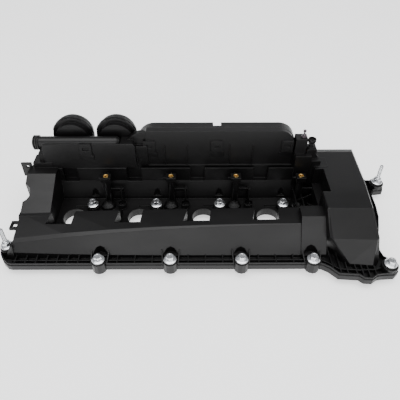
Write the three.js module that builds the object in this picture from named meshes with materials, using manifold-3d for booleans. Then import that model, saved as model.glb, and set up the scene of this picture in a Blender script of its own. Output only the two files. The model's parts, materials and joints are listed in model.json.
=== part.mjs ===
// Cylinder head cover of one bank of a four-cylinder-per-bank engine, in millimetres, +Z up.
// X runs along the engine with the timing-chain end at +X and Y runs across it. Heights are
// measured from a datum just above the gasket face. The whole group is moved at the end so that
// the origin is under the middle of the bounding box.
import * as THREE from 'three';
import { mergeVertices } from 'three/addons/utils/BufferGeometryUtils.js';
import Module from 'manifold-3d';

const wasm = await Module();
wasm.setup();

// ---------------------------------------------------------------- driving dimensions
const PITCH = 100;              // cylinder spacing
const CYLINDERS = 4;
const WALL = 3;                 // moulded wall
const FIT = 0.3;                // gap between touching pieces
const SEAL_GROOVE = 2.8;        // depth of the seal grooves in the gasket face
const SEAL_PROUD = 0.8;         // the seals stand this far out of their grooves
const FACE = -2.7;              // height of the gasket face
const FLANGE_TOP = 10;          // height of the flange lip
const LIP_STEP = 6;             // the lip is set back above this height
const POCKET_FLOOR = 3;
const LIP = 2.4;                // thickness of the flange lip

const FRONT_BOLT_X = -140;      // first front bolt, the others follow at the pitch
const VALLEY_BOLT = [-166.6, 113.8];
const COIL_SCREW = [-142.4, 128];
const WELL = [-192.5, 92];      // first spark-plug well
const WELL_SIZE = [34, 35];
const WELL_CORNER = 16.5;
const WELL_RIM = 10;

const BOSS_R = 10.2;
const STUD_BOSS_R = 11.5;
const BOSS_TOP = 14.4;
const BORE_R = 6.5;
const COUNTERBORE_R = 9.1;
const COUNTERBORE_Z = 11.9;
const WASHER_R = 9;             // flange of the bolt heads
const SEAT_Z = 17;             // under-face of the bolt heads

const BOX_FOOT_Y = 15;          // foot of the front cam box
const VALLEY_FLOOR = 8;
const VALLEY_FRONT_Y = 72;
const VALLEY_BACK_Y = 137;
const RAIL_Y = 146;
const RAIL_TOP = 63;
const RAIL_FOOT_Z = 39;
const BACK_FOOT_Y = 192;
const BACK_ROOF_Z = 60;
const LEFT_X = -263;
const CASING_LEFT_X = 179;

const SEPARATOR_Y = 156;        // front wall of the oil separator
const SEAM_Y = 167;             // weld seam between separator housing and lid
const SEPARATOR_BACK_Y = 180;
const SEPARATOR_TOP = 125;
const VENT_Y = 146.5;           // front wall of the vent housing under the breather pipe

const PIPE = { y: 157.5, z: 104.5, r: 9.5, bore: 7, x0: -250, x1: -118 };
const REGULATORS = [-193.6, -126.6];
const REG_Z = 103.5;
const REG_FACE_Y = 168;
const REG_SEAM_Y = 179;
const REG_BACK_Y = 195;
const REG_R = 31.6;

const SEG = 16;                 // facets on ordinary round features
const SEG_LARGE = 22;
const SEG_BOSS = 12;
const SEG_SMALL = 10;

const BACK_BOLT_Y = 207;
const FRONT_BOLTS = steps(CYLINDERS).map((i) => [FRONT_BOLT_X + i * PITCH, 0]);
const VALLEY_BOLTS = steps(CYLINDERS).map((i) => [VALLEY_BOLT[0] + i * PITCH, VALLEY_BOLT[1]]);
const BACK_BOLTS = [[-190, BACK_BOLT_Y], [-20, BACK_BOLT_Y], [150, BACK_BOLT_Y]];
const RIGHT_BOLT = [265, -8.7];
const LEFT_BOLT = [-268, 102];
const LEFT_STUD = [-275, 27];
const RIGHT_STUD = [297.5, 167];
const WELLS = steps(CYLINDERS).map((i) => [WELL[0] + i * PITCH, WELL[1]]);
const COIL_SCREWS = steps(CYLINDERS).map((i) => [COIL_SCREW[0] + i * PITCH, COIL_SCREW[1]]);
const ALL_BOLTS = [...FRONT_BOLTS, ...VALLEY_BOLTS, ...BACK_BOLTS,
  RIGHT_BOLT, LEFT_BOLT, LEFT_STUD, RIGHT_STUD];

// Outer edge of the flange seen from above, anticlockwise from the front left corner.
const FLANGE = [
  [-263, -1.9], [168, -1.9], [174, -3.5], [182, -8.5], [193, -20.5], [220, -22.5], [226, -28.2],
  [237, -29], [245, -23], [253, -21.5], [270, -20.5], [277, -14], [277, -3], [271, 6], [264, 12],
  [262, 22], [265, 42], [274, 66], [281, 90], [284, 114], [285, 142], [291, 154], [307, 156.5],
  [310.5, 170], [300, 180], [284, 180], [276, 198], [266, 211.5], [-256, 211.5], [-266, 202],
  [-268, 116], [-281, 111], [-282, 94], [-268, 87], [-268, 42], [-281, 40], [-287, 31],
  [-285.5, 20], [-276.5, 6], [-269, -0.5],
];
// Middle of the gasket groove in the gasket face.
const GASKET_PATH = [
  [-254, 11], [160, 11], [182, 1], [203, -12], [224, -20], [240, -20], [252, -8], [254, 20],
  [256, 44], [265, 68], [272, 92], [275, 116], [275, 150], [270, 178], [258, 196], [-254, 196],
];

// ---------------------------------------------------------------- geometry helpers
function steps(count) {
  return Array.from({ length: count }, (_, i) => i);
}

// A three.js geometry as a closed solid, with its faces turned outwards.
function solid(geometry) {
  geometry.deleteAttribute('normal');
  geometry.deleteAttribute('uv');
  const merged = mergeVertices(geometry, 1e-4);
  const position = merged.attributes.position;
  const triangles = [];
  let volume = 0;
  const a = new THREE.Vector3();
  const b = new THREE.Vector3();
  const c = new THREE.Vector3();
  for (let i = 0; i < merged.index.count; i += 3) {
    const [p, q, r] = [0, 1, 2].map((k) => merged.index.getX(i + k));
    if (p === q || q === r || r === p) continue;
    triangles.push(p, q, r);
    a.fromBufferAttribute(position, p);
    b.fromBufferAttribute(position, q);
    c.fromBufferAttribute(position, r);
    volume += a.dot(b.cross(c));
  }
  if (volume < 0) triangles.reverse();
  return new wasm.Manifold(new wasm.Mesh({
    numProp: 3,
    vertProperties: Float32Array.from(position.array),
    triVerts: Uint32Array.from(triangles),
  }));
}

function join(solids) {
  return solids.reduce((whole, piece) => whole.add(piece));
}

function box(x0, x1, y0, y1, z0, z1) {
  const geometry = new THREE.BoxGeometry(x1 - x0, y1 - y0, z1 - z0);
  geometry.translate((x0 + x1) / 2, (y0 + y1) / 2, (z0 + z1) / 2);
  return solid(geometry);
}

// An outline in the XY plane, extruded from z0 to z1.
function prism(points, z0, z1) {
  const shape = points instanceof THREE.Shape
    ? points : new THREE.Shape(points.map(([x, y]) => new THREE.Vector2(x, y)));
  const geometry = new THREE.ExtrudeGeometry(shape, {
    depth: z1 - z0, bevelEnabled: false, curveSegments: 3,
  });
  geometry.translate(0, 0, z0);
  return solid(geometry);
}

// An outline of (y, z) points, extruded from x0 to x1.
function sideways(points, x0, x1) {
  const shape = new THREE.Shape(points.map(([y, z]) => new THREE.Vector2(y, z)));
  const geometry = new THREE.ExtrudeGeometry(shape, { depth: x1 - x0, bevelEnabled: false });
  geometry.applyMatrix4(new THREE.Matrix4().set(
    0, 0, 1, x0,
    1, 0, 0, 0,
    0, 1, 0, 0,
    0, 0, 0, 1,
  ));
  return solid(geometry);
}

// An outline of (x, z) points, extruded from y0 to y1.
function across(points, y0, y1) {
  const shape = points instanceof THREE.Shape
    ? points : new THREE.Shape(points.map(([x, z]) => new THREE.Vector2(x, z)));
  const geometry = new THREE.ExtrudeGeometry(shape, {
    depth: y1 - y0, bevelEnabled: false, curveSegments: 5,
  });
  geometry.rotateX(Math.PI / 2);
  geometry.translate(0, y1, 0);
  return solid(geometry);
}

function post(radius, z0, z1, x, y, segments = SEG, topRadius = radius) {
  const geometry = new THREE.CylinderGeometry(topRadius, radius, z1 - z0, segments);
  geometry.rotateX(Math.PI / 2);
  geometry.translate(x, y, (z0 + z1) / 2);
  return solid(geometry);
}

function barrel(radius, y0, y1, x, z, segments = SEG_LARGE) {
  const geometry = new THREE.CylinderGeometry(radius, radius, y1 - y0, segments);
  geometry.translate(x, (y0 + y1) / 2, z);
  return solid(geometry);
}

function rod(radius, x0, x1, y, z, segments = SEG) {
  const geometry = new THREE.CylinderGeometry(radius, radius, x1 - x0, segments);
  geometry.rotateZ(Math.PI / 2);
  geometry.translate((x0 + x1) / 2, y, z);
  return solid(geometry);
}

// A profile of [radius, height] points, turned about the Z axis.
function turned(profile, segments = SEG) {
  const points = profile.map(([r, h]) => new THREE.Vector2(r, h));
  const geometry = new THREE.LatheGeometry(points, segments);
  geometry.rotateX(Math.PI / 2);
  return solid(geometry);
}

// Rings of the same number of [x, y, z] points, skinned and capped.
function loft(rings) {
  const count = rings[0].length;
  const vertices = rings.flat(2);
  const centres = [rings[0], rings[rings.length - 1]].map((ring) => [0, 1, 2].map(
    (k) => ring.reduce((sum, point) => sum + point[k], 0) / count));
  vertices.push(...centres.flat());
  const first = rings.length * count;
  const last = (rings.length - 1) * count;
  const index = [];
  for (let i = 0; i < count; i += 1) {
    const next = (i + 1) % count;
    for (let r = 0; r < last; r += count) {
      index.push(r + i, r + next, r + count + i);
      index.push(r + next, r + count + next, r + count + i);
    }
    index.push(first, next, i);
    index.push(first + 1, last + i, last + next);
  }
  const geometry = new THREE.BufferGeometry();
  geometry.setAttribute('position', new THREE.Float32BufferAttribute(vertices, 3));
  geometry.setIndex(index);
  return solid(geometry);
}

// A closed outline moved inwards by a distance, with mitred corners.
function inset(points, distance) {
  return points.map((point, i) => {
    const before = points[(i + points.length - 1) % points.length];
    const after = points[(i + 1) % points.length];
    const [n1, n2] = [[before, point], [point, after]].map(([p, q]) => {
      const length = Math.hypot(q[0] - p[0], q[1] - p[1]);
      return [-(q[1] - p[1]) / length, (q[0] - p[0]) / length];
    });
    const scale = distance / (1 + n1[0] * n2[0] + n1[1] * n2[1]);
    return [point[0] + (n1[0] + n2[0]) * scale, point[1] + (n1[1] + n2[1]) * scale];
  });
}

function roundedRectangle(x0, x1, y0, y1, corners) {
  const [bl, br, tr, tl] = corners;
  const shape = new THREE.Shape();
  shape.moveTo(x0 + bl, y0);
  shape.lineTo(x1 - br, y0);
  if (br) shape.absarc(x1 - br, y0 + br, br, -Math.PI / 2, 0);
  shape.lineTo(x1, y1 - tr);
  if (tr) shape.absarc(x1 - tr, y1 - tr, tr, 0, Math.PI / 2);
  shape.lineTo(x0 + tl, y1);
  if (tl) shape.absarc(x0 + tl, y1 - tl, tl, Math.PI / 2, Math.PI);
  shape.lineTo(x0, y0 + bl);
  if (bl) shape.absarc(x0 + bl, y0 + bl, bl, Math.PI, 1.5 * Math.PI);
  return shape;
}

// Upright plates of one thickness that follow a line of [x, y] points.
function fence(points, thickness, z0, z1) {
  return join(points.slice(1).map(([x1, y1], i) => {
    const [x0, y0] = points[i];
    const geometry = new THREE.BoxGeometry(Math.hypot(x1 - x0, y1 - y0), thickness, z1 - z0);
    geometry.rotateZ(Math.atan2(y1 - y0, x1 - x0));
    geometry.translate((x0 + x1) / 2, (y0 + y1) / 2, (z0 + z1) / 2);
    return solid(geometry);
  }));
}

function wellOutline([x, y], grow) {
  const [halfX, halfY] = WELL_SIZE.map((size) => size / 2 + grow);
  const corner = WELL_CORNER + grow;
  return roundedRectangle(x - halfX, x + halfX, y - halfY, y + halfY,
    [corner, corner, corner, corner]);
}

// ---------------------------------------------------------------- the moulded cover
// The front cam box narrows, sinks and softens towards its left end; t runs from 0 to 1 that way.
const BOX_RIGHT_X = 150;
const BOX_STATIONS = 7;

function frontBoxSection(t, wall) {
  const crestY = 41.5 - 17.5 * t ** 2.2;
  const roofZ = 45 - 7 * t;
  const crestZ = roofZ - 8 * t ** 3;
  const backY = 75.5 - 4.5 * t ** 6;
  const footZ = 8 + 7.5 * t ** 4;
  const soft = 0.8 + 4 * t;
  const x = BOX_RIGHT_X + (LEFT_X - BOX_RIGHT_X) * t + (t === 1 ? wall : 0);
  const crest = [crestY + wall * 0.6, crestZ - wall];
  return [
    [x, BOX_FOOT_Y + wall, FACE - wall], [x, BOX_FOOT_Y + wall, footZ],
    [x, crest[0] - soft * 0.4, crest[1] - soft * 0.7], [x, crest[0] + soft, crest[1]],
    [x, backY - wall, roofZ - wall], [x, backY - wall, FACE - wall],
  ];
}

function frontBox(wall) {
  return loft(steps(BOX_STATIONS).map((i) => frontBoxSection(1 - i / (BOX_STATIONS - 1), wall)));
}

function raisedBlock(wall) {
  return sideways([
    [BOX_FOOT_Y - 1 + wall, FACE - wall], [BOX_FOOT_Y - 1 + wall, FLANGE_TOP],
    [46 + wall * 0.5, 55 - wall], [68 - wall, 55 - wall], [68 - wall, FACE - wall],
  ], 146 + wall, CASING_LEFT_X + 3);
}

// Outline levels of the timing casing, from the flange up to the roof.
const CASING_LEVELS = [
  [FLANGE_TOP, [CASING_LEFT_X, 192], [CASING_LEFT_X, 40], [206, 0.5], [211, -3], [243, -6],
    [252, 0], [266, 90], [260, 192]],
  [40, [CASING_LEFT_X, 190], [CASING_LEFT_X, 46], [183, 20], [187, 16.5], [247.5, 14.5],
    [251.5, 18], [257, 95], [252, 190]],
  [68, [CASING_LEFT_X, 188], [CASING_LEFT_X, 60], [179.5, 46], [182, 45], [241, 44.5],
    [244, 47], [248, 100], [249.5, 188]],
  [70, [CASING_LEFT_X + 1.5, 178.5], [CASING_LEFT_X + 1.5, 60], [181, 48], [183, 47], [240, 46.5],
    [242.2, 48.5], [246, 100], [246.5, 178.5]],
];

function casing(wall) {
  const levels = [[FACE - wall, ...CASING_LEVELS[0].slice(1)], ...CASING_LEVELS];
  return loft(levels.map(([z, ...outline]) => {
    const height = z > FLANGE_TOP ? z - wall : z;
    return inset([...outline].reverse(), -wall).map(([x, y]) => [x, y, height]);
  }));
}

// The sloping pad at the left end of the valley.
function leftPad(wall) {
  return sideways([
    [66, FACE - wall], [66, 38 - wall], [71, 38 - wall], [131, 65 - wall], [150, 65 - wall],
    [150, FACE - wall],
  ], LEFT_X + wall, -219 - wall);
}

function backBox(wall) {
  return sideways([
    [RAIL_Y + wall, FACE - wall], [RAIL_Y + wall, BACK_ROOF_Z - wall],
    [172, BACK_ROOF_Z - wall], [BACK_FOOT_Y - wall, 34], [BACK_FOOT_Y - wall, FACE - wall],
  ], LEFT_X + wall, CASING_LEFT_X + 3);
}

// The slanted wall behind the valley, below the wiring rail.
function valleyBackWall(wall) {
  return sideways([
    [VALLEY_BACK_Y - 2 + wall, FACE - wall], [VALLEY_BACK_Y + wall, 12],
    [RAIL_Y + wall, RAIL_FOOT_Z], [RAIL_Y + 4 + wall, RAIL_FOOT_Z],
    [RAIL_Y + 4 + wall, FACE - wall],
  ], -222 + wall, CASING_LEFT_X + 2);
}

function separatorHousing() {
  const outline = roundedRectangle(-80, 146, 45, SEPARATOR_TOP, [0, 0, 24, 3]);
  const cavity = roundedRectangle(-77, 143, RAIL_TOP + 2, SEPARATOR_TOP - WALL, [2, 2, 21, 2]);
  const weldFlange = across(roundedRectangle(-93, 148, 66, SEPARATOR_TOP, [3, 3, 26, 26]),
    SEAM_Y - 4, SEAM_Y);
  return across(outline, SEPARATOR_Y, SEAM_Y).add(weldFlange)
    .subtract(across(cavity, SEPARATOR_Y + WALL, SEAM_Y + 1));
}

// The duct that leads from the vent regulators to the separator.
function ventDuct() {
  return across([
    [-118, 60], [-118, 96], [-114, 102], [-108, 108], [-98, 117], [-90, 120], [-78, 120], [-78, 60],
  ], 158, SEAM_Y);
}

function ventHousing() {
  const wall = across(roundedRectangle(-236, -96, 45, 108.5, [0, 0, 5, 8]), VENT_Y, SEAM_Y);
  const hollow = box(-232, -100, VENT_Y + 3.5, SEAM_Y + 1, BACK_ROOF_Z + WALL, 86);
  const channel = rod(PIPE.r + FIT, PIPE.x0 - 1, PIPE.x1 + FIT, PIPE.y, PIPE.z, SEG);
  const above = box(PIPE.x0, PIPE.x1 + FIT, PIPE.y - PIPE.r - FIT, PIPE.y + PIPE.r + FIT, PIPE.z, 125);
  return wall.subtract(hollow).subtract(channel).subtract(above);
}

function regulatorBody(x) {
  return join([
    barrel(25, REG_FACE_Y, REG_SEAM_Y - 3, x, REG_Z),
    barrel(31, REG_SEAM_Y - 3, REG_SEAM_Y, x, REG_Z),
    box(x - 20, x + 20, SEAM_Y - 4, REG_SEAM_Y - 3, 50, REG_Z - 12),
  ]);
}

function boss([x, y], radius = BOSS_R) {
  return post(radius, FACE, BOSS_TOP, x, y, SEG_BOSS);
}

function boltHole([x, y]) {
  return post(BORE_R, FACE - 1, COUNTERBORE_Z + 1, x, y, SEG_SMALL)
    .add(post(COUNTERBORE_R, COUNTERBORE_Z, SEAT_Z + 24, x, y, SEG_BOSS));
}

// Room for a socket wrench behind a front boss, cut into the sloping wall.
const SCALLOP_R = 10.8;
const SCALLOP_BACK = 11.7;      // its round end is this far behind the bolt
const SCALLOP_FLOOR = 8;

function scallop([x, y], grow) {
  const r = SCALLOP_R + grow;
  const floor = SCALLOP_FLOOR - grow;
  return post(r, floor, 60, x, y + SCALLOP_BACK, SEG_BOSS)
    .add(box(x - r, x + r, y - 12, y + SCALLOP_BACK, floor, 60));
}

// The same behind a valley boss, cut into the slanted wall.
function valleyScallop([x], grow) {
  return post(6.2 + grow, 13 - grow, 38, x, VALLEY_BACK_Y - 1.4, SEG_SMALL);
}

// A thin web beside a front boss; the pair closes in towards the flange lip.
function gusset([x, y], side) {
  const web = (yAt, offset, top) => [[offset, 1], [offset + 1.4, 1], [offset + 1.4, top], [offset, top]]
    .map(([dx, z]) => [x + side * dx, yAt, z]);
  return loft([web(y - 1, 10.2, FLANGE_TOP + 0.4), web(y + 19.5, 12, 16)]);
}

function flangeTray() {
  return prism(FLANGE, FACE, LIP_STEP).add(prism(inset(FLANGE, 1), LIP_STEP - 1, FLANGE_TOP))
    .subtract(prism(inset(FLANGE, LIP), POCKET_FLOOR, 20));
}

function flangeRibs() {
  const ribs = [];
  const rib = (x, y0, y1) => ribs.push(box(x - 0.8, x + 0.8, y0, y1, 1, FLANGE_TOP - 0.6));
  const leftRibs = 7;
  for (let i = 0; i < leftRibs; i += 1) rib(-170.4 - 14.85 * i, -0.5, BOX_FOOT_Y + 1);
  for (let gap = 0; gap < CYLINDERS - 1; gap += 1) {
    for (const offset of [-25.2, -0.6, 24]) {
      rib(FRONT_BOLT_X + PITCH * (gap + 0.5) + offset, -0.5, BOX_FOOT_Y + 1);
    }
  }
  const ledge = box(-264, 172, 5, 6.6, 1, FLANGE_TOP - 0.9);
  const backLedge = box(-258, 262, 200, 201.8, 1, POCKET_FLOOR + 4);
  const backRibs = 9;
  for (let i = 0; i < backRibs; i += 1) rib(-238 + 60 * i, BACK_FOOT_Y - 1, 210);
  return join([...ribs, ledge, backLedge]);
}

// Ribs between the lobe of the flange and the foot of the timing casing.
function lobeRibs() {
  const ribs = [187.1, 196.5, 205.8, 218, 226.4, 234.8, 244.3].map(
    (x) => box(x - 0.8, x + 0.8, -35, 34, 1, FLANGE_TOP - 0.6));
  const ledge = fence([[172, 5.8], [181, 1], [195, -10.5], [222, -13], [246, -12], [256, -8]], 1.6,
    1, FLANGE_TOP - 0.9);
  const inside = prism(inset(FLANGE, LIP / 2), 0.5, FLANGE_TOP);
  return join([...ribs, ledge]).intersect(inside);
}

function valleyFloor() {
  return box(-222, CASING_LEFT_X + 2, VALLEY_FRONT_Y - 2, VALLEY_BACK_Y + 2,
    VALLEY_FLOOR - WALL, VALLEY_FLOOR);
}

// One coil bay: well tube, coil column, fins, dome, cup and the thin bracket beside the column.
function bay(i) {
  const well = WELLS[i];
  const [boltX, boltY] = VALLEY_BOLTS[i];
  const [screwX, screwY] = COIL_SCREWS[i];
  const fin = (x) => sideways([[screwY - 12, 7], [screwY - 9, 16], [screwY, 42], [screwY, 7]],
    x, x + 1.8);
  const cup = post(5.5, VALLEY_FLOOR - 1, 17, screwX + 21.4, 117, SEG_SMALL, 8)
    .subtract(post(5, 13, 18, screwX + 21.4, 117, 8, 6.6));
  const pieces = [
    prism(wellOutline(well, WALL), FACE, WELL_RIM),
    boss([boltX, boltY]),
    post(6, VALLEY_FLOOR - 1, 55, screwX, screwY, SEG_SMALL, 5.2),
    box(screwX - 7.5, screwX + 7.5, screwY - 6.5, screwY + 6.5, 54, 62),
    box(screwX - 12, screwX - 7, screwY - 1, screwY + 1, 57, 59.5),
    box(screwX - 1.2, screwX + 1.2, screwY, RAIL_Y + 1, VALLEY_FLOOR - 1, 54),
    fin(screwX - 4.6),
    fin(screwX + 2.8),
    box(screwX + 3, screwX + 25, 126, 128, 33.5, 38.5),
    sideways([[115, 7], [122, 38.5], [128, 38.5], [128, 7]], screwX + 20.6, screwX + 22.2),
    box(screwX + 20.6, screwX + 22.2, 127, VALLEY_BACK_Y + 4, 7, 30),
    sideways([[76, 7], [76, 30], [92, 26], [108, 7]], screwX + 21, screwX + 22.6),
    box(boltX - 28.5, boltX - 9, 117, 119, VALLEY_FLOOR - 1, VALLEY_FLOOR + 2.5),
    cup,
  ];
  const dome = new THREE.SphereGeometry(1, 12, 6);
  dome.rotateX(Math.PI / 2);
  dome.scale(12.4, 12.4, 10.5);
  dome.translate(screwX - 1.5, 118, VALLEY_FLOOR - 1);
  const cap = solid(dome).intersect(box(screwX - 15, screwX + 14, 100, 132, VALLEY_FLOOR - 2, 40));
  return join([...pieces, cap]);
}

// The notch in the roof of the front box that lets the coil into its well.
const NOTCH = [[-29.7, 51], [7.9, 51], [11.6, 84], [-22.5, 84]];

function roofNotch([x]) {
  return prism(NOTCH.map(([dx, y]) => [x + dx, y]), VALLEY_FLOOR, 60);
}

// The channel for the coil wiring, with one window towards each coil.
const WINDOW = [-213, -190.4];
const WINDOW_SILL = 37.5;

function railChannel() {
  const windows = steps(CYLINDERS).map((i) => box(WINDOW[0] + i * PITCH, WINDOW[1] + i * PITCH,
    RAIL_Y - 1, 154, WINDOW_SILL, RAIL_TOP + (i === 0 ? 0 : 1)));
  return join([
    box(-93.5, 148, RAIL_Y + 2.5, 154, 46, 80), box(-219, -90, RAIL_Y + 2.5, 154, 46, RAIL_TOP),
    ...windows,
  ]);
}

function latchTab(x, y, z, width) {
  const plate = box(x - width / 2, x + width / 2, y - 2.6, y + 1, z - 20, z);
  const frame = sideways([[y - 2.6, z - 20], [y + 1, z - 34], [y + 1, z - 20]],
    x - width * 0.6, x + width * 0.6);
  return plate.add(frame).subtract(box(x - 4.5, x + 4.5, y - 3, y - 0.6, z - 11.5, z - 6.5));
}

function separatorRibs() {
  const ribs = [-52, -17, 48, 84].map((x) => box(x - 0.8, x + 0.8, SEPARATOR_Y - 1.6,
    SEPARATOR_Y + 1, RAIL_TOP - 2, 100));
  return join(ribs);
}

// The towers and brackets that stand between the rail and the timing casing.
function rightTowers() {
  return join([
    box(147, 164.5, 150, 166, 40, 113.5),
    box(148.5, 173, 143, 166, 30, 87),
    box(165, 180, 147, 163, 60, 97),
    box(173, 187, 141, 165, 28, 80),
    box(186, 200, 140, 162, 60, 70.6),
    across([[165, 60], [165, 97], [174, 97], [177, 93], [190.5, 72], [190.5, 60]], 149.5, 152),
    box(150, 152, 90, 140, 7, 30),
    box(163, 165, 84, 142, 7, 24),
    across([[152, 7], [152, 20], [176, 34], [176, 7]], 116, 118),
  ]);
}

function leftTowers() {
  const tab = box(-276, -260, 148, 151, 47, 72);
  const hole = barrel(2.3, 147, 152, -266.5, 65.5, SEG_SMALL);
  const corner = loft([
    [[-262, 10, 1], [-278, 14, 1], [-272, 22, 1], [-262, 40, 1]],
    [[-262, 16, 26], [-266, 18, 26], [-266, 24, 26], [-262, 36, 26]],
  ]).subtract(post(WASHER_R + 1, COUNTERBORE_Z + 1, 40, ...LEFT_STUD, SEG_BOSS));
  return join([
    box(-256, -226, 146, 168, 50, 74),
    box(-246, -226, 151, 168, 60, 88),
    tab.subtract(hole),
    box(-279, -262, 66, 70, 20, 24),
    box(-279, -276, 54, 70, 20, 24),
    box(-279, -262, 54, 58, 20, 24),
    corner,
  ]);
}

function coverMoulding() {
  const outside = join([
    flangeTray(), frontBox(0), raisedBlock(0), casing(0), leftPad(0), backBox(0),
    valleyBackWall(0), valleyFloor(), separatorHousing(), ventHousing(), ventDuct(),
    box(-222, 150, RAIL_Y, SEPARATOR_Y + 1, 30, RAIL_TOP),
    box(-97, -78, 152, SEAM_Y, 40, 100),
    rightTowers(), leftTowers(), separatorRibs(),
    ...REGULATORS.map(regulatorBody),
  ]);
  const underValley = box(-219, CASING_LEFT_X + 6, VALLEY_FRONT_Y - 4, VALLEY_BACK_Y + 4,
    FACE - WALL, VALLEY_FLOOR - WALL);
  const keepOut = join([
    ...FRONT_BOLTS.map((bolt) => scallop(bolt, WALL)),
    ...WELLS.map((well) => roofNotchKeepOut(well)),
    ...VALLEY_BOLTS.map((bolt) => valleyScallop(bolt, WALL)),
    post(18, -5, 90, ...LEFT_BOLT),
    box(CASING_LEFT_X - 1, 195, 79, 138, 37, 80),
    box(-222, 152, RAIL_Y, 157, WINDOW_SILL - WALL, 70),
  ]);
  const hollow = join([
    frontBox(WALL), raisedBlock(WALL), casing(WALL), leftPad(WALL), backBox(WALL),
    valleyBackWall(WALL), underValley,
  ]).subtract(keepOut);
  const cuts = join([
    hollow,
    railChannel(),
    ...WELLS.map(roofNotch),
    ...FRONT_BOLTS.map((bolt) => scallop(bolt, 0)),
    box(CASING_LEFT_X - 2, 192, 82, 135, 40, 80),
    post(14.5, BOSS_TOP, 90, ...LEFT_BOLT),
    ...VALLEY_BOLTS.map((bolt) => valleyScallop(bolt, 0)),
  ]);
  const bosses = join([
    ...ALL_BOLTS.map((bolt) => boss(bolt, bolt === RIGHT_STUD || bolt === RIGHT_BOLT
      ? STUD_BOSS_R : BOSS_R)),
    ...FRONT_BOLTS.flatMap((bolt) => [gusset(bolt, -1), gusset(bolt, 1)]),
    flangeRibs(), lobeRibs(),
    ...steps(CYLINDERS).map(bay),
    latchTab(-75, SEPARATOR_Y, 108, 18), latchTab(28, SEPARATOR_Y, 108, 18),
    latchTab(136, SEPARATOR_Y, 108, 18), latchTab(-170, VENT_Y, 109.5, 18),
  ]);
  const gasketGroove = prism(inset(GASKET_PATH, -2), FACE - 1, FACE + SEAL_GROOVE)
    .subtract(prism(inset(GASKET_PATH, 2), FACE - 1, FACE + SEAL_GROOVE));
  const bores = join([
    gasketGroove,
    ...ALL_BOLTS.map(boltHole),
    ...WELLS.map((well) => prism(wellOutline(well, 0), FACE - 1, WELL_RIM + 30)),
    ...WELLS.map((well) => prism(wellOutline(well, 1.9), FACE - 1, FACE + SEAL_GROOVE)),
    ...COIL_SCREWS.map(([x, y]) => post(3.9, 48, 63, x, y, SEG_SMALL)),
    ...REGULATORS.map((x) => barrel(21, REG_FACE_Y + 2.5, REG_SEAM_Y + 1, x, REG_Z)
      .subtract(barrel(6, REG_FACE_Y, REG_SEAM_Y - 4.5, x, REG_Z, SEG_SMALL))),
  ]);
  return outside.subtract(cuts).add(bosses).subtract(bores);
}

// Material kept behind a roof notch, so that the notch doesn't open into the hollow.
function roofNotchKeepOut([x]) {
  return box(x - 33, x + 15, 48, 84, FACE - 5, 60);
}

// ---------------------------------------------------------------- the separate pieces
// Seals are drawn with Z = 0 at the gasket face.
function sealRing(outer, inner) {
  return prism(outer, -SEAL_PROUD, SEAL_GROOVE - FIT).subtract(prism(inner, -1, SEAL_GROOVE));
}

function perimeterGasket() {
  return sealRing(inset(GASKET_PATH, -1.7), inset(GASKET_PATH, 1.7));
}

function wellSeal() {
  return sealRing(wellOutline([0, 0], 1.6), wellOutline([0, 0], 0.1));
}

function isolator() {
  const collar = COUNTERBORE_Z - FACE + FIT;
  const top = SEAT_Z - FACE - FIT;
  return turned([
    [4.3, 1.5], [6.2, 1.5], [6.2, collar], [8.8, collar], [8.8, top], [4.3, top], [4.3, 1.5],
  ], SEG_SMALL);
}

// Hexagon flange bolt with a shoulder, drawn with the under-face of its head at Z = 0.
const SHOULDER_END = -19.4;
const BOLT_TIP = -29.4;
const STUD_TIP = 33.5;
const HEX_ACROSS_CORNERS_R = 5.9;
const HEAD_HEIGHT = 7.4;

function boltBlank(tip) {
  return turned([
    [0, tip], [3, tip], [3, SHOULDER_END], [4, SHOULDER_END], [4, 0], [WASHER_R, 0],
    [WASHER_R, 1.6], [0, 1.6],
  ], SEG_SMALL);
}

function hexFlangeBolt() {
  return boltBlank(BOLT_TIP).add(post(HEX_ACROSS_CORNERS_R, 1, HEAD_HEIGHT, 0, 0, 6));
}

// The same bolt with a second threaded stud on top of its head.
function studBolt() {
  const stud = post(3, HEAD_HEIGHT - 1, STUD_TIP, 0, 0, SEG_SMALL);
  return hexFlangeBolt().add(stud);
}

function coilInsert() {
  const knurled = turned([
    [2.2, 0], [3.6, 0], [3.6, 13.9], [4.2, 13.9], [4.2, 14.6], [2.2, 14.6], [2.2, 0],
  ], SEG_SMALL);
  return knurled;
}

// The welded back half of the oil separator, with the hose groove down its back.
function separatorLid() {
  const outer = roundedRectangle(-93, 148, RAIL_TOP + 3, SEPARATOR_TOP, [3, 3, 26, 26]);
  const inner = roundedRectangle(-90, 145, RAIL_TOP + 6, SEPARATOR_TOP - WALL, [2, 2, 23, 23]);
  const y0 = SEAM_Y + FIT;
  const groove = box(20, 37, 169, SEPARATOR_BACK_Y - 1, 60, 130);
  const cut = box(22.5, 34.5, 171, SEPARATOR_BACK_Y + 1, 60, 130);
  const shell = across(outer, y0, SEPARATOR_BACK_Y)
    .subtract(across(inner, y0 - 1, SEPARATOR_BACK_Y - WALL));
  const ribs = join([-60, -25, 65, 105].map((x) => box(x - 1, x + 1, SEPARATOR_BACK_Y - 0.5,
    SEPARATOR_BACK_Y + 2, RAIL_TOP + 10, SEPARATOR_TOP - 14)));
  return shell.add(groove.intersect(across(outer, y0, SEPARATOR_BACK_Y))).subtract(cut).add(ribs);
}

function separatorBaffle() {
  const plate = across(roundedRectangle(-76, 142, RAIL_TOP + 3, SEPARATOR_TOP - 4, [1, 1, 20, 1]),
    162, 163.6);
  const slots = join(steps(5).map((i) => box(-60 + i * 42, -42 + i * 42, 160, 165, 74, 79)));
  return plate.subtract(slots);
}

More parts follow.
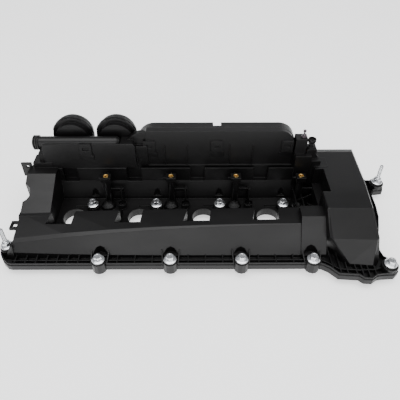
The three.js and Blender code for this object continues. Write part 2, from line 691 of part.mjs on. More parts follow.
function regulatorCap() {
  const depth = REG_BACK_Y - REG_SEAM_Y - FIT;
  const rim = turned([
    [0, depth - 2.5], [19, depth - 2.5], [19, 5], [28, 5], [28, 0], [REG_R, 0],
    [REG_R, 4.5], [30, 5.5], [30, 9], [28.5, 10], [28.5, depth - 1.5], [26.5, depth], [0, depth],
  ], SEG_LARGE);
  const lugs = steps(8).map((i) => {
    const geometry = new THREE.BoxGeometry(6, 3, 6);
    geometry.translate(0, REG_R - 0.8, 3);
    geometry.rotateZ(i * Math.PI / 4 + Math.PI / 8);
    return solid(geometry);
  });
  return join([rim, ...lugs]);
}

// The sprung plate in the middle of a regulator diaphragm: a disc, a spring cup and a valve stem.
function regulatorPlate() {
  return turned([
    [0, -1.3], [5, -1.3], [5, 0.2], [17, 0.2], [17, 1.6], [6, 1.6], [5, 4], [0, 4],
  ], SEG);
}

function regulatorDiaphragm() {
  return turned([
    [17.3, 0.2], [19.5, 0.2], [22.5, 2], [25.5, 0.2], [27.6, 0.2], [27.6, 1.4],
    [25.5, 1.4], [22.5, 3.2], [19.5, 1.4], [17.3, 1.4], [17.3, 0.2],
  ], SEG);
}

class Helix extends THREE.Curve {
  constructor(radius, height, turns) {
    super();
    Object.assign(this, { radius, height, turns });
  }

  getPoint(t, target = new THREE.Vector3()) {
    const angle = t * this.turns * 2 * Math.PI;
    return target.set(this.radius * Math.cos(angle), this.radius * Math.sin(angle),
      t * this.height);
  }
}

function wireShape(radius, sides) {
  return new THREE.Shape(steps(sides).map((i) => {
    const angle = i / sides * 2 * Math.PI;
    return new THREE.Vector2(radius * Math.cos(angle), radius * Math.sin(angle));
  }));
}

// The spring is drawn as short as it is when the valve is closed.
const CLOSED_SPRING_HEIGHT = 5.2;

function regulatorSpring(height) {
  const wire = 0.6;
  const turns = 2.5;
  const geometry = new THREE.ExtrudeGeometry(wireShape(wire, 5), {
    steps: turns * 8, bevelEnabled: false, extrudePath: new Helix(8.2, height - 2 * wire, turns),
  });
  return solid(geometry);
}

function breatherPipe() {
  const length = PIPE.x1 - PIPE.x0;
  return turned([
    [PIPE.bore, 0], [9.4, 0], [11.2, 1], [11.2, 3.4], [9.2, 3.6], [9.2, 6.8], [11.2, 7],
    [11.2, 9.5], [PIPE.r, 10.5], [PIPE.r, length - 5], [PIPE.r - 3, length - 1],
    [0, length - 1], [0, length - 6], [PIPE.bore, length - 8], [PIPE.bore, 0],
  ], SEG);
}

function oRing(radius, wire) {
  const geometry = new THREE.TorusGeometry(radius, wire, 5, 14);
  return solid(geometry);
}

function hoseSpigot() {
  return turned([
    [2.6, 0], [6.6, 0], [6.6, 1.5], [4.1, 1.5], [4.1, 8.6], [6.2, 9.8], [6.2, 14.4], [4.8, 14.4],
    [4.8, 11], [2.6, 11], [2.6, 0],
  ], SEG_SMALL);
}

function ballStud() {
  return turned([
    [0, 0], [4.6, 0], [3.7, 1.4], [1.5, 4.8], [1.1, 6.8], [1.9, 7.9], [2.5, 9.7], [1.9, 11.4],
    [0, 12.2],
  ], SEG_SMALL);
}

// ---------------------------------------------------------------- the assembly
const cover = new THREE.Group();

const plastic = () => new THREE.MeshStandardMaterial({ color: 0x1c1b1d, roughness: 0.45, metalness: 0 });
const rubber = () => new THREE.MeshStandardMaterial({ color: 0x101011, roughness: 0.7, metalness: 0 });
const zinc = () => new THREE.MeshStandardMaterial({ color: 0xd4d6da, roughness: 0.28, metalness: 1 });
const brass = () => new THREE.MeshStandardMaterial({ color: 0xc99a4b, roughness: 0.3, metalness: 1 });
const steel = () => new THREE.MeshStandardMaterial({ color: 0x9a9ca0, roughness: 0.35, metalness: 1 });

// The vertices and triangles of a solid, as a three.js geometry.
function toGeometry(shape) {
  const mesh = shape.getMesh();
  const geometry = new THREE.BufferGeometry();
  geometry.setAttribute('position', new THREE.BufferAttribute(mesh.vertProperties, 3));
  geometry.setIndex(new THREE.BufferAttribute(mesh.triVerts, 1));
  geometry.computeVertexNormals();
  return geometry;
}

function place(name, geometry, material, [x, y, z], rotationX = 0, rotationY = 0) {
  const mesh = new THREE.Mesh(geometry, material);
  mesh.name = name;
  mesh.position.set(x, y, z);
  mesh.rotation.set(rotationX, rotationY, 0);
  cover.add(mesh);
}

const ORIGIN = [0, 0, 0];
place('cover_moulding', toGeometry(coverMoulding()), plastic(), ORIGIN);
place('perimeter_gasket', toGeometry(perimeterGasket()), rubber(), [0, 0, FACE]);
place('separator_lid', toGeometry(separatorLid()), plastic(), ORIGIN);
place('separator_baffle', toGeometry(separatorBaffle()), plastic(), ORIGIN);

const sealGeometry = toGeometry(wellSeal());
const insertGeometry = toGeometry(coilInsert());
steps(CYLINDERS).forEach((i) => {
  place(`well_seal_${i + 1}`, sealGeometry, rubber(), [...WELLS[i], FACE]);
  place(`coil_insert_${i + 1}`, insertGeometry, brass(), [...COIL_SCREWS[i], 48.4]);
});

const isolatorGeometry = toGeometry(isolator());
const boltGeometry = toGeometry(hexFlangeBolt());
const studGeometry = toGeometry(studBolt());
const fastener = (suffix, bolt, geometry = boltGeometry, kind = 'bolt') => {
  place(`${kind}_${suffix}`, geometry, zinc(), [...bolt, SEAT_Z]);
  place(`isolator_${suffix}`, isolatorGeometry, rubber(), [...bolt, FACE]);
};
FRONT_BOLTS.forEach((bolt, i) => fastener(`front_${i + 1}`, bolt));
VALLEY_BOLTS.forEach((bolt, i) => fastener(`valley_${i + 1}`, bolt));
BACK_BOLTS.forEach((bolt, i) => fastener(`back_${i + 1}`, bolt));
fastener('timing_front', RIGHT_BOLT);
fastener('left_end', LEFT_BOLT);
fastener('left_front', LEFT_STUD, studGeometry, 'stud_bolt');
fastener('right_back', RIGHT_STUD, studGeometry, 'stud_bolt');

// Shapes turned about Z are laid down here so that their height runs along +Y or +X.
const ALONG_Y = -Math.PI / 2;
const ALONG_X = Math.PI / 2;
const capGeometry = toGeometry(regulatorCap());
const plateGeometry = toGeometry(regulatorPlate());
const diaphragmGeometry = toGeometry(regulatorDiaphragm());
const springGeometry = toGeometry(regulatorSpring(CLOSED_SPRING_HEIGHT));
REGULATORS.forEach((x, i) => {
  const seam = REG_SEAM_Y + FIT;
  place(`regulator_cap_${i + 1}`, capGeometry, plastic(), [x, seam, REG_Z], ALONG_Y);
  place(`regulator_diaphragm_${i + 1}`, diaphragmGeometry, rubber(), [x, seam, REG_Z], ALONG_Y);
  place(`regulator_plate_${i + 1}`, plateGeometry, steel(), [x, seam, REG_Z], ALONG_Y);
  place(`regulator_spring_${i + 1}`, springGeometry, steel(), [x, REG_FACE_Y + 3.4, REG_Z], ALONG_Y);
});

place('breather_pipe', toGeometry(breatherPipe()), plastic(), [PIPE.x0, PIPE.y, PIPE.z], 0, ALONG_X);
place('breather_o_ring', toGeometry(oRing(10.4, 0.9)), rubber(),
  [PIPE.x0 + 5.2, PIPE.y, PIPE.z], 0, ALONG_X);
place('hose_spigot', toGeometry(hoseSpigot()), plastic(), [172, 155, 97.3]);
place('spigot_o_ring', toGeometry(oRing(4.9, 0.5)), rubber(), [172, 155, 104.6]);
place('ball_stud', toGeometry(ballStud()), steel(), [159.4, 158, 113.8]);

// The origin goes under the middle of the bounding box.
cover.updateMatrixWorld(true);
const bounds = new THREE.Box3().setFromObject(cover);
cover.position.set(-(bounds.min.x + bounds.max.x) / 2, -(bounds.min.y + bounds.max.y) / 2, -bounds.min.z);
cover.updateMatrixWorld(true);

export default cover;
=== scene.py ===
"""Looks for a moulded plastic cylinder head cover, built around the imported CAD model.

Places are in metres in the frame of the CAD model, with +Z up and the floor under the bolt tips. The
profiles of the turned pieces are in millimetres, as (radius, height) points.
"""
import json
import math

import bmesh
import bpy
from mathutils import Euler, Matrix, Vector


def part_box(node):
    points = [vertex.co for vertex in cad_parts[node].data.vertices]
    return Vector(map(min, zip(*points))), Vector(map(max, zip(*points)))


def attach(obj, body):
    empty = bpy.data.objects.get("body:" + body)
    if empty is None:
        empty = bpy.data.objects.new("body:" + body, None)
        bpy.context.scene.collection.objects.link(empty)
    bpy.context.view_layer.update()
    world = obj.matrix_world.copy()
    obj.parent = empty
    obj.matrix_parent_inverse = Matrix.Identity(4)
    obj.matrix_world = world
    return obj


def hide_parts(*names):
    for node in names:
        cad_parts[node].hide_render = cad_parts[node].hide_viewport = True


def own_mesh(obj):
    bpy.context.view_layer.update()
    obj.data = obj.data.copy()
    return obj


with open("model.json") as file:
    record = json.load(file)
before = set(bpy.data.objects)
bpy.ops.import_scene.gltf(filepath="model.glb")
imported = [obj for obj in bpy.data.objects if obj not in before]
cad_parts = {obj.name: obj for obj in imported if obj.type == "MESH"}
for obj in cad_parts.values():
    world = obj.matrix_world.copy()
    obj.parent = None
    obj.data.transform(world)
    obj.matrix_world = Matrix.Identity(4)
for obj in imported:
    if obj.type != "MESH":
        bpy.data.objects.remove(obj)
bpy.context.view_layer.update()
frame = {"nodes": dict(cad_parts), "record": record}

MM = 0.001
TURN = 2 * math.pi

# ------------------------------------------------------------------ camera, lights and floor
CAMERA_PLACE = (-0.01175, -0.49433, 0.50717)
CAMERA_PITCH = 42.43             # degrees below the horizon
CAMERA_YAW = 0.25                # degrees towards +X
LENS = 39.95                     # on the default 36 mm sensor

camera_data = bpy.data.cameras.new("camera")
camera_data.lens = LENS
camera = bpy.data.objects.new("camera", camera_data)
camera.location = CAMERA_PLACE
camera.rotation_euler = Euler((math.radians(90 - CAMERA_PITCH), 0, math.radians(-CAMERA_YAW)))
bpy.context.scene.collection.objects.link(camera)
bpy.context.scene.camera = camera


MIDDLE = (0, 0, 0.04)            # what the lights face


def area_light(name, place, width, height, power):
    """A rectangular softbox that faces the object; sizes in metres, power in watts."""
    data = bpy.data.lights.new(name, "AREA")
    data.shape = "RECTANGLE"
    data.size = width
    data.size_y = height
    data.energy = power
    light = bpy.data.objects.new(name, data)
    light.location = place
    direction = Vector(MIDDLE) - Vector(place)
    light.rotation_euler = direction.to_track_quat("-Z", "Y").to_euler()
    bpy.context.scene.collection.objects.link(light)


area_light("softbox_top", (0, -0.15, 1.6), 2.2, 1.2, 34)
area_light("softbox_front", (0.1, -1.9, 0.9), 2.4, 1.1, 27)
area_light("strip_left", (-1.6, 0.3, 0.7), 1.4, 0.5, 3.5)
area_light("strip_right", (1.6, 0.2, 0.8), 1.2, 0.6, 4)
area_light("strip_back", (0.0, 1.9, 0.5), 3.0, 0.6, 12)

world = bpy.data.worlds.new("studio")
bpy.context.scene.world = world
world.use_nodes = True
world.node_tree.nodes["Background"].inputs["Color"].default_value = (0.95, 0.97, 1.0, 1)
world.node_tree.nodes["Background"].inputs["Strength"].default_value = 0.3


# ------------------------------------------------------------------ node helpers
class Nodes:
    """A material's node tree with short calls for the nodes used here."""

    def __init__(self, name):
        self.material = bpy.data.materials.new(name)
        self.material.use_nodes = True
        self.tree = self.material.node_tree
        self.shader = self.tree.nodes["Principled BSDF"]
        self.coordinates = self.add("ShaderNodeTexCoord").outputs["Object"]

    def add(self, kind, links=None, **settings):
        node = self.tree.nodes.new(kind)
        for key, value in settings.items():
            setattr(node, key, value)
        for key, value in (links or {}).items():
            self.put(value, node.inputs[key])
        return node

    def put(self, value, socket):
        if isinstance(value, bpy.types.NodeSocket):
            self.tree.links.new(value, socket)
        else:
            socket.default_value = value

    def noise(self, scale, detail=3, roughness=0.5, vector=None):
        links = {"Vector": vector or self.coordinates, "Scale": scale, "Detail": detail,
                 "Roughness": roughness}
        return self.add("ShaderNodeTexNoise", links).outputs["Fac"]

    def span(self, value, low, high, out_low, out_high):
        links = {"Value": value, "From Min": low, "From Max": high, "To Min": out_low,
                 "To Max": out_high}
        return self.add("ShaderNodeMapRange", links).outputs["Result"]

    def mix(self, factor, a, b):
        node = self.add("ShaderNodeMix", data_type="RGBA")
        self.put(factor, node.inputs[0])
        self.put(a, node.inputs[6])
        self.put(b, node.inputs[7])
        return node.outputs[2]

    def maths(self, operation, a, b):
        node = self.add("ShaderNodeMath", operation=operation)
        self.put(a, node.inputs[0])
        self.put(b, node.inputs[1])
        return node.outputs[0]

    def stretched(self, x, y, z):
        links = {"Vector": self.coordinates, "Scale": (x, y, z)}
        return self.add("ShaderNodeMapping", links).outputs["Vector"]

    def bump(self, height, strength, distance, normal=None):
        links = {"Height": height, "Strength": strength, "Distance": distance}
        node = self.add("ShaderNodeBump", links)
        if normal is not None:
            self.put(normal, node.inputs["Normal"])
        return node.outputs["Normal"]

    def set(self, **inputs):
        for key, value in inputs.items():
            self.put(value, self.shader.inputs[key.replace("_", " ")])
        return self.material


def moulded_plastic(name, dark, light, roughness, edge):
    """Glass-filled nylon: satin, with fine tool grain, faint flow marks and rounded edges."""
    n = Nodes(name)
    cloud = n.noise(9.0, 4)
    flow = n.noise(30.0, 5, 0.6, n.stretched(0.35, 1.6, 1.0))
    grain = n.noise(1900.0, 2, 0.6)
    colour = n.mix(n.span(cloud, 0.3, 0.7, 0.0, 1.0), (*dark, 1), (*light, 1))
    tone = n.maths("ADD", n.span(flow, 0.25, 0.75, -0.05, 0.06), n.span(cloud, 0.3, 0.7, -0.03, 0.04))
    rounded = n.add("ShaderNodeBevel", {"Radius": edge}, samples=6).outputs["Normal"]
    normal = n.bump(grain, 0.25, 0.00008, rounded)
    return n.set(Base_Color=colour, Roughness=n.maths("ADD", tone, roughness), Specular_IOR_Level=0.32,
                 Normal=n.bump(flow, 0.12, 0.0004, normal))


def soft_rubber(name):
    n = Nodes(name)
    dust = n.noise(140.0, 5, 0.65)
    colour = n.mix(n.span(dust, 0.42, 0.75, 0.0, 1.0), (0.012, 0.012, 0.012, 1),
                   (0.035, 0.034, 0.033, 1))
    grain = n.noise(2600.0, 3, 0.6)
    return n.set(Base_Color=colour, Roughness=n.span(dust, 0.3, 0.7, 0.55, 0.78),
                 Normal=n.bump(grain, 0.3, 0.00006))


def plated_steel(name, base, stain, low, high):
    n = Nodes(name)
    patch = n.noise(260.0, 4, 0.6)
    brushed = n.noise(900.0, 3, 0.6, n.stretched(1.0, 1.0, 0.06))
    colour = n.mix(n.span(patch, 0.45, 0.75, 0.0, 1.0), (*base, 1), (*stain, 1))
    rough = n.maths("ADD", n.span(patch, 0.3, 0.7, low, high), n.span(brushed, 0.3, 0.7, 0, 0.05))
    return n.set(Base_Color=colour, Metallic=1.0, Roughness=rough,
                 Normal=n.bump(brushed, 0.15, 0.00005))


FLOOR_GLOW = 1.0                 # the floor's own light, which keeps it near white


def pale_floor(name):
    n = Nodes(name)
    mottle = n.noise(6.0, 3)
    colour = n.mix(n.span(mottle, 0.3, 0.7, 0.0, 1.0), (0.90, 0.905, 0.91, 1), (0.93, 0.93, 0.93, 1))
    rough = n.span(n.noise(40.0, 3), 0.3, 0.7, 0.75, 0.85)
    return n.set(Base_Color=colour, Emission_Color=(1, 1, 1, 1), Emission_Strength=FLOOR_GLOW,
                 Roughness=rough)


PLASTIC = moulded_plastic("black_plastic", (0.0022, 0.0020, 0.0021), (0.0036, 0.0033, 0.0035), 0.38,
                          0.0009)
DEEP_PLASTIC = moulded_plastic("deep_plastic", (0.002, 0.002, 0.0022), (0.0034, 0.0034, 0.0036), 0.36,
                               0.0004)
RUBBER = soft_rubber("rubber")
ZINC = plated_steel("zinc_plate", (0.80, 0.81, 0.83), (0.66, 0.68, 0.70), 0.18, 0.30)
BRASS = plated_steel("brass", (0.84, 0.58, 0.22), (0.70, 0.44, 0.15), 0.20, 0.32)
STEEL = plated_steel("plain_steel", (0.52, 0.52, 0.53), (0.40, 0.40, 0.41), 0.26, 0.38)
DARK_STEEL = plated_steel("dark_steel", (0.10, 0.085, 0.095), (0.06, 0.05, 0.055), 0.2, 0.3)


# ------------------------------------------------------------------ mesh helpers
SMOOTH_ANGLE = 32.0              # degrees; a sharper edge stays sharp
MERGE_DISTANCE = 1e-6


def piece(name, vertices, faces, material, slot, body, replaced):
    """A new piece from plain vertices and faces, riding on a body and standing for CAD nodes."""
    mesh = bpy.data.meshes.new(name)
    mesh.from_pydata(vertices, [], faces)
    mesh.validate()
    work = bmesh.new()
    work.from_mesh(mesh)
    bmesh.ops.remove_doubles(work, verts=work.verts, dist=MERGE_DISTANCE)
    bmesh.ops.recalc_face_normals(work, faces=work.faces)
    for edge in work.edges:
        edge.smooth = not edge.is_manifold or edge.calc_face_angle(0) < math.radians(SMOOTH_ANGLE)
    for face in work.faces:
        face.smooth = True
    work.to_mesh(mesh)
    work.free()
    mesh.materials.append(material)
    made = bpy.data.objects.new(name, mesh)
    bpy.context.scene.collection.objects.link(made)
    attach(made, body)
    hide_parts(*replaced)
    return made


def revolve(profile, segments, radius=None):
    """Vertices and faces of a closed (radius, height) profile turned about Z, in millimetres."""
    vertices = []
    faces = []
    count = len(profile)
    for i in range(segments):
        angle = TURN * i / segments
        for r, z in profile:
            if radius:
                r = radius(r, z, angle)
            vertices.append((r * math.cos(angle), r * math.sin(angle), z))
    for i in range(segments):
        j = (i + 1) % segments
        for k in range(count):
            m = (k + 1) % count
            if profile[k][0] == 0 and profile[m][0] == 0:
                continue
            faces.append((i * count + k, j * count + k, j * count + m, i * count + m))
    return vertices, faces


def combine(*parts):
    vertices = []
    faces = []
    for part_vertices, part_faces in parts:
        first = len(vertices)
        vertices.extend(part_vertices)
        faces.extend(tuple(first + k for k in face) for face in part_faces)
    return vertices, faces


def placed(shape, matrix):
    vertices, faces = shape
    return [matrix @ (Vector(v) * MM) for v in vertices], faces


def arc(cx, cy, r, start, end, count):
    """Points of an arc, in degrees, both ends included."""
    step = (end - start) / (count - 1)
    angles = [math.radians(start + step * i) for i in range(count)]
    return [(cx + r * math.cos(a), cy + r * math.sin(a)) for a in angles]


# ------------------------------------------------------------------ fasteners
HEX_APOTHEM = 5.1
HEAD_HEIGHT = 7.4
WASHER_R = 9.0
SHOULDER_R = 4.0
SHOULDER_END = -19.4
THREAD_R = 3.0
THREAD_PITCH = 1.0
THREAD_DEPTH = 0.55
THREAD_FADE = 0.8                # length over which a thread runs out
THREAD_STEPS = 6                 # rings of vertices in each pitch
BOLT_TIP = -29.4
STUD_TIP = 33.5
ROUND = 48                       # sides of a round piece
SHANK_SIDES = 24
FIRST_TURN = 0.35                # radians; each bolt head stands at its own angle
TURN_STEP = 1.7


def thread_radius(top, bottom):
    """A function for the radius of a 6 mm thread, which fades out at both ends."""
    def radius(r, z, angle):
        if r < THREAD_R - 0.001 or not bottom <= z <= top:
            return r
        phase = (z / THREAD_PITCH - angle / TURN) % 1.0
        ridge = abs(phase - 0.5) * 2
        fade = min(1.0, (z - bottom) / THREAD_FADE, (top - z) / THREAD_FADE)
        return r - THREAD_DEPTH * ridge * max(0.0, fade)
    return radius


def thread_levels(z0, z1):
    count = int(abs(z1 - z0) / THREAD_PITCH * THREAD_STEPS)
    return [(THREAD_R, z0 + (z1 - z0) * i / count) for i in range(count + 1)]


def hexagon_radius(r, z, angle):
    """Clips the head to a hexagon; a chamfer cone keeps its top corners round."""
    if z <= 1.7:
        return r
    face = (angle + math.pi / 6) % (math.pi / 3) - math.pi / 6
    return min(r, HEX_APOTHEM / math.cos(face))


def bolt_shape(stud=False):
    shank = [(0, BOLT_TIP), (THREAD_R - 0.9, BOLT_TIP)]
    shank += thread_levels(BOLT_TIP + 0.8, SHOULDER_END - 0.4)
    shank += [(THREAD_R, SHOULDER_END - 0.2), (SHOULDER_R - 0.3, SHOULDER_END),
              (SHOULDER_R, SHOULDER_END + 0.3), (SHOULDER_R, -0.4), (SHOULDER_R + 0.3, 0), (0, 0)]
    lower = revolve(shank, SHANK_SIDES, thread_radius(SHOULDER_END - 0.3, BOLT_TIP + 0.6))
    head = [(0, 0.02), (WASHER_R - 0.4, 0.02), (WASHER_R, 0.35), (WASHER_R, 0.8), (WASHER_R - 0.5, 1.25),
            (6.6, 1.6), (6.0, 1.75), (6.0, 2.1), (6.0, HEAD_HEIGHT - 0.75), (5.75, HEAD_HEIGHT - 0.4),
            (5.3, HEAD_HEIGHT - 0.12), (4.7, HEAD_HEIGHT), (3.9, HEAD_HEIGHT - 0.05),
            (3.5, HEAD_HEIGHT - 0.5), (0, HEAD_HEIGHT - 0.6)]
    parts = [lower, revolve(head, ROUND, hexagon_radius)]
    if stud:
        post = [(0, HEAD_HEIGHT - 0.7), (3.3, HEAD_HEIGHT - 0.7), (3.3, HEAD_HEIGHT + 0.6),
                (2.6, HEAD_HEIGHT + 1.0), (2.6, HEAD_HEIGHT + 3.2)]
        post += thread_levels(HEAD_HEIGHT + 3.6, STUD_TIP - 1.0)
        post += [(2.3, STUD_TIP - 0.3), (2.0, STUD_TIP), (0, STUD_TIP)]
        parts.append(revolve(post, SHANK_SIDES, thread_radius(STUD_TIP - 0.9, HEAD_HEIGHT + 3.4)))
    return combine(*parts)


ISOLATOR_BOTTOM = 1.5
COLLAR = 14.9                    # under-face of an isolator's collar
ISOLATOR_TOP = 19.4

ISOLATOR = ([(4.3, 1.6), (4.6, ISOLATOR_BOTTOM), (5.9, ISOLATOR_BOTTOM), (6.2, 1.9)]
            + [(6.2 - 0.25 * (i % 2), 2.6 + 0.8 * i) for i in range(14)]
            + [(6.2, COLLAR - 0.6), (6.4, COLLAR - 0.1), (8.3, COLLAR)]
            + arc(8.2, COLLAR + 0.6, 0.6, -70, 0, 4)
            + [(8.8, COLLAR + 2.0), (8.5, COLLAR + 2.3), (8.8, COLLAR + 2.6)]
            + arc(8.2, ISOLATOR_TOP - 0.6, 0.6, 0, 90, 5)
            + [(7.2, ISOLATOR_TOP), (6.8, ISOLATOR_TOP - 0.25), (6.2, ISOLATOR_TOP - 0.25),
               (5.8, ISOLATOR_TOP), (4.6, ISOLATOR_TOP), (4.3, ISOLATOR_TOP - 0.3)])

plain_bolt = bolt_shape()
stud_bolt = bolt_shape(stud=True)
isolator_shape = revolve(ISOLATOR, ROUND)
fasteners = [name for name in frame["nodes"] if name.startswith(("bolt_", "stud_bolt_"))]
for number, name in enumerate(sorted(fasteners)):
    low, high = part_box(name)
    centre = (low + high) / 2
    is_stud = name.startswith("stud")
    seat = low.z - BOLT_TIP * MM
    turn = Matrix.Rotation(FIRST_TURN + TURN_STEP * number, 4, "Z")
    place = Matrix.Translation((centre.x, centre.y, seat)) @ turn
    shape = placed(stud_bolt if is_stud else plain_bolt, place)
    piece(f"{name}_piece", *shape, ZINC, "zinc_steel", name, [name])
    ring = name.replace("stud_bolt_", "isolator_").replace("bolt_", "isolator_")
    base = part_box(ring)[0].z - ISOLATOR_BOTTOM * MM
    shape = placed(isolator_shape, Matrix.Translation((centre.x, centre.y, base)))
    piece(f"{ring}_piece", *shape, RUBBER, "rubber", "cover", [ring])


# ------------------------------------------------------------------ brass inserts
KNURL_COUNT = 18
KNURL_DEPTH = 0.18
KNURL_TWIST = 2.2                # radians of phase for each millimetre of height
KNURL_INNER = 3.4
KNURL_TOP = 13.2


def knurl(r, z, angle):
    """Slanted grooves in the insert's outer wall, below its flange."""
    if r < KNURL_INNER or z > KNURL_TOP:
        return r
    return r - KNURL_DEPTH * (0.5 + 0.5 * math.cos(angle * KNURL_COUNT + z * KNURL_TWIST))


INSERT = ([(2.5, 0.3), (2.7, 0), (3.4, 0)] + [(3.6, 0.4 + 0.8 * i) for i in range(17)]
          + [(3.6, 13.9), (4.0, 13.9), (4.2, 14.1), (4.2, 14.4), (4.0, 14.6), (3.0, 14.6), (2.6, 14.2)]
          + [(2.45 + 0.2 * (i % 2), 13.8 - 0.5 * i) for i in range(26)])
insert_shape = revolve(INSERT, 72, knurl)
for number in range(1, 5):
    node = f"coil_insert_{number}"
    low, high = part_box(node)
    centre = (low + high) / 2
    shape = placed(insert_shape, Matrix.Translation((centre.x, centre.y, low.z)))
    piece(f"{node}_piece", *shape, BRASS, "brass", "cover", [node])


# ------------------------------------------------------------------ pipe, spigot, ball and O-rings
def ring_shape(major, minor, segments=64, sides=14):
    profile = [(major + minor * math.cos(TURN * k / sides), minor * math.sin(TURN * k / sides))
               for k in range(sides)]
    return revolve(profile, segments)


ALONG_X = Matrix.Rotation(math.pi / 2, 4, "Y")
ALONG_Y = Matrix.Rotation(-math.pi / 2, 4, "X")

low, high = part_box("breather_pipe")
pipe_length = (high.x - low.x) / MM
pipe_centre = Vector((low.x, (low.y + high.y) / 2, (low.z + high.z) / 2))
PIPE = ([(7.3, 0)] + arc(8.6, 0.8, 0.8, -90, 0, 4) + [(9.6, 1.0)] + arc(10.4, 1.9, 0.8, -60, 0, 3)
        + arc(10.4, 2.6, 0.8, 0, 80, 4) + [(9.2, 3.6), (9.2, 6.8), (10.4, 7.0)]
        + arc(10.4, 7.9, 0.8, -60, 0, 3)
        + arc(10.4, 8.7, 0.8, 0, 70, 4) + [(9.6, 10.3), (9.5, 11.0), (9.5, 40.0), (9.5, 78.0)]
        + [(9.5, pipe_length - 5.2), (9.1, pipe_length - 4.2), (6.9, pipe_length - 0.9),
           (6.2, pipe_length - 0.1), (0, pipe_length), (0, pipe_length - 5), (6.4, pipe_length - 7),
           (7.0, pipe_length - 8), (7.0, 0.4)])
shape = placed(revolve(PIPE, 64), Matrix.Translation(pipe_centre) @ ALONG_X)
piece("breather_pipe_piece", *shape, PLASTIC, "black_plastic", "cover", ["breather_pipe"])

low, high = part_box("breather_o_ring")
shape = placed(ring_shape(10.4, 0.9), Matrix.Translation((low + high) / 2) @ ALONG_X)
piece("breather_o_ring_piece", *shape, RUBBER, "rubber", "cover", ["breather_o_ring"])

SPIGOT = ([(2.6, 0.2), (2.8, 0), (6.3, 0), (6.6, 0.3), (6.6, 1.2), (6.3, 1.5), (4.4, 1.5), (4.1, 1.8),
           (4.1, 8.6), (6.0, 9.7), (6.2, 10.0), (6.2, 12.2), (6.0, 12.4), (6.0, 12.8), (6.2, 13.0),
           (6.2, 13.9)]
          + arc(5.8, 14.0, 0.4, 10, 90, 4)
          + [(5.1, 14.4), (4.8, 14.1), (4.8, 11.2), (4.5, 11.0), (2.9, 11.0), (2.6, 10.7)])
low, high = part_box("hose_spigot")
spigot_place = Matrix.Translation(((low.x + high.x) / 2, (low.y + high.y) / 2, low.z))
piece("hose_spigot_piece", *placed(revolve(SPIGOT, ROUND), spigot_place), PLASTIC, "black_plastic",
      "cover", ["hose_spigot"])
low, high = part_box("spigot_o_ring")
piece("spigot_o_ring_piece", *placed(ring_shape(4.9, 0.5, 48, 10), Matrix.Translation((low + high) / 2)),
      RUBBER, "rubber", "cover", ["spigot_o_ring"])

BALL_R = 2.5
BALL = ([(0, 0), (4.3, 0), (4.6, 0.3), (4.4, 0.7), (3.6, 1.4), (2.4, 3.0), (1.5, 4.8), (1.15, 6.2),
         (1.15, 7.2)]
        + arc(0, 9.7, BALL_R, -62, 90, 18))
low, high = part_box("ball_stud")
ball_place = Matrix.Translation(((low.x + high.x) / 2, (low.y + high.y) / 2, low.z))
piece("ball_stud_piece", *placed(revolve(BALL, ROUND), ball_place), DARK_STEEL, "plain_steel", "cover",
      ["ball_stud"])

# ------------------------------------------------------------------ vent regulators
CAP_R = 31.6
LUG_COUNT = 8
LUG_REACH = 0.6
LUG_HALF_WIDTH = 0.1             # radians
LUG_TOP = 4.6                    # the lugs end at this height above the rim


def lug_radius(r, z, angle):
    """Eight snap lugs stand proud of the cap's rim."""
    if r < CAP_R - 0.01 or z > LUG_TOP:
        return r
    step = TURN / LUG_COUNT
    near = abs(angle % step - step / 2)
    return r + (LUG_REACH if near < LUG_HALF_WIDTH else 0.0)


def cap_profile(depth):
    outer = [(28, 0.3), (28.3, 0), (31.2, 0), (CAP_R, 0.4), (CAP_R, 2.2), (CAP_R, 4.2), (31.2, LUG_TOP)]
    grooves = [(30, 5.4), (30, 6.6), (29.6, 6.9), (29.6, 7.5), (30, 7.8), (30, 9.0), (29.1, 9.6)]
    crown = [(28.5, 10.2), (28.5, depth - 1.6), (28.1, depth - 0.7), (27.1, depth - 0.1), (26.3, depth)]
    ridges = [(25.5 - 1.05 * i, depth - (0.55 if i % 2 else 0.0)) for i in range(10)]
    hub = [(13.5, depth - 0.9), (12.8, depth), (9.4, depth), (8.8, depth - 0.6), (4.2, depth - 0.6),
           (3.8, depth - 0.1), (0, depth)]
    inside = [(0, depth - 2.5), (19, depth - 2.5), (19, 5), (28, 5)]
    return outer + grooves + crown + ridges + hub + inside


for number in (1, 2):
    node = f"regulator_cap_{number}"
    low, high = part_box(node)
    centre = (low + high) / 2
    place = Matrix.Translation((centre.x, low.y, centre.z)) @ ALONG_Y
    profile = cap_profile((high.y - low.y) / MM)
    piece(f"{node}_piece", *placed(revolve(profile, 128, lug_radius), place), DEEP_PLASTIC,
          "black_plastic", "cover", [node])

# ------------------------------------------------------------------ springs and plates behind the diaphragms
SPRING_R = 8.2
WIRE_R = 0.6
SPRING_TURNS = 4.5
REST_LENGTH = 8.0                # length of a spring at rest
PLATE_TOP = 4.0


def coil_spring(radius, wire, length, turns, ring=10, steps_per_turn=28):
    """A compression spring along Z with closed ends; vertices and faces in millimetres."""
    count = int(turns * steps_per_turn)
    vertices = []
    for i in range(count + 1):
        t = i / count
        angle = TURN * turns * t
        lift = min(1.0, max(0.0, (t * turns - 0.7) / (turns - 1.4)))
        z = wire + lift * (length - 2 * wire)
        for k in range(ring):
            a = TURN * k / ring
            r = radius + wire * math.cos(a)
            vertices.append((r * math.cos(angle), r * math.sin(angle), z + wire * math.sin(a)))
    faces = [tuple(range(ring)), tuple(range(count * ring, (count + 1) * ring))]
    for i in range(count):
        for k in range(ring):
            m = (k + 1) % ring
            faces.append((i * ring + k, i * ring + m, (i + 1) * ring + m, (i + 1) * ring + k))
    return vertices, faces


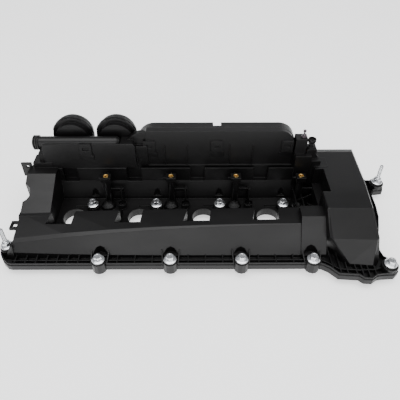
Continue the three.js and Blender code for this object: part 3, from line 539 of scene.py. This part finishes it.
PLATE = [(0, -1.3), (4.7, -1.3), (5, -1.0), (5, 0.2), (7.0, 0.2), (7.0, 0.45), (9.4, 0.45), (9.4, 0.2),
         (16.6, 0.2), (17, 0.5), (17, 1.3), (16.7, 1.6), (12.5, 1.6), (12.1, 1.25), (7.5, 1.25), (7.1, 1.6),
         (6, 1.6), (5.3, 3.6), (4.9, PLATE_TOP), (0, PLATE_TOP)]
DIAPHRAGM = ([(17.3, 0.25), (19.5, 0.2)] + arc(22.5, 0.2, 2.0, 160, 20, 9)
             + [(25.5, 0.2), (27.6, 0.25), (27.6, 1.35), (25.5, 1.4)] + arc(22.5, 1.4, 1.8, 20, 160, 9)
             + [(19.5, 1.4), (17.3, 1.35)])
for number in (1, 2):
    plate = f"regulator_plate_{number}"
    low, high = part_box(plate)
    axis_x = (low.x + high.x) / 2
    axis_z = (low.z + high.z) / 2
    place = Matrix.Translation((axis_x, high.y - PLATE_TOP * MM, axis_z)) @ ALONG_Y
    piece(f"{plate}_piece", *placed(revolve(PLATE, 64), place), STEEL, "plain_steel", plate, [plate])
    node = f"regulator_diaphragm_{number}"
    piece(f"{node}_piece", *placed(revolve(DIAPHRAGM, 96), place), RUBBER, "rubber", "cover", [node])
    node = f"regulator_spring_{number}"
    floor_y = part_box(node)[0].y
    place = Matrix.Translation((axis_x, floor_y, axis_z)) @ ALONG_Y
    spring = piece(f"{node}_piece", *placed(coil_spring(SPRING_R, WIRE_R, REST_LENGTH, SPRING_TURNS), place),
                   STEEL, "plain_steel", "cover", [node])
    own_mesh(spring)

# ------------------------------------------------------------------ CAD nodes that are kept
LOOKS = {"black_plastic": PLASTIC, "rubber": RUBBER, "zinc_steel": ZINC, "brass": BRASS, "plain_steel": STEEL}
slot_names = {part["node"]: part["material_slot"] for part in frame["record"]["subparts"]}
for name, node in frame["nodes"].items():
    if node.hide_render:
        continue
    for slot in node.material_slots:
        slot.material = LOOKS[slot_names[name]]

# ------------------------------------------------------------------ floor
FLOOR_SIZE = 30.0
floor_mesh = bpy.data.meshes.new("floor")
half = FLOOR_SIZE / 2
floor_mesh.from_pydata([(-half, -half, 0), (half, -half, 0), (half, half, 0), (-half, half, 0)], [],
                       [(0, 1, 2, 3)])
floor_mesh.materials.append(pale_floor("floor"))
floor = bpy.data.objects.new("floor", floor_mesh)
bpy.context.scene.collection.objects.link(floor)
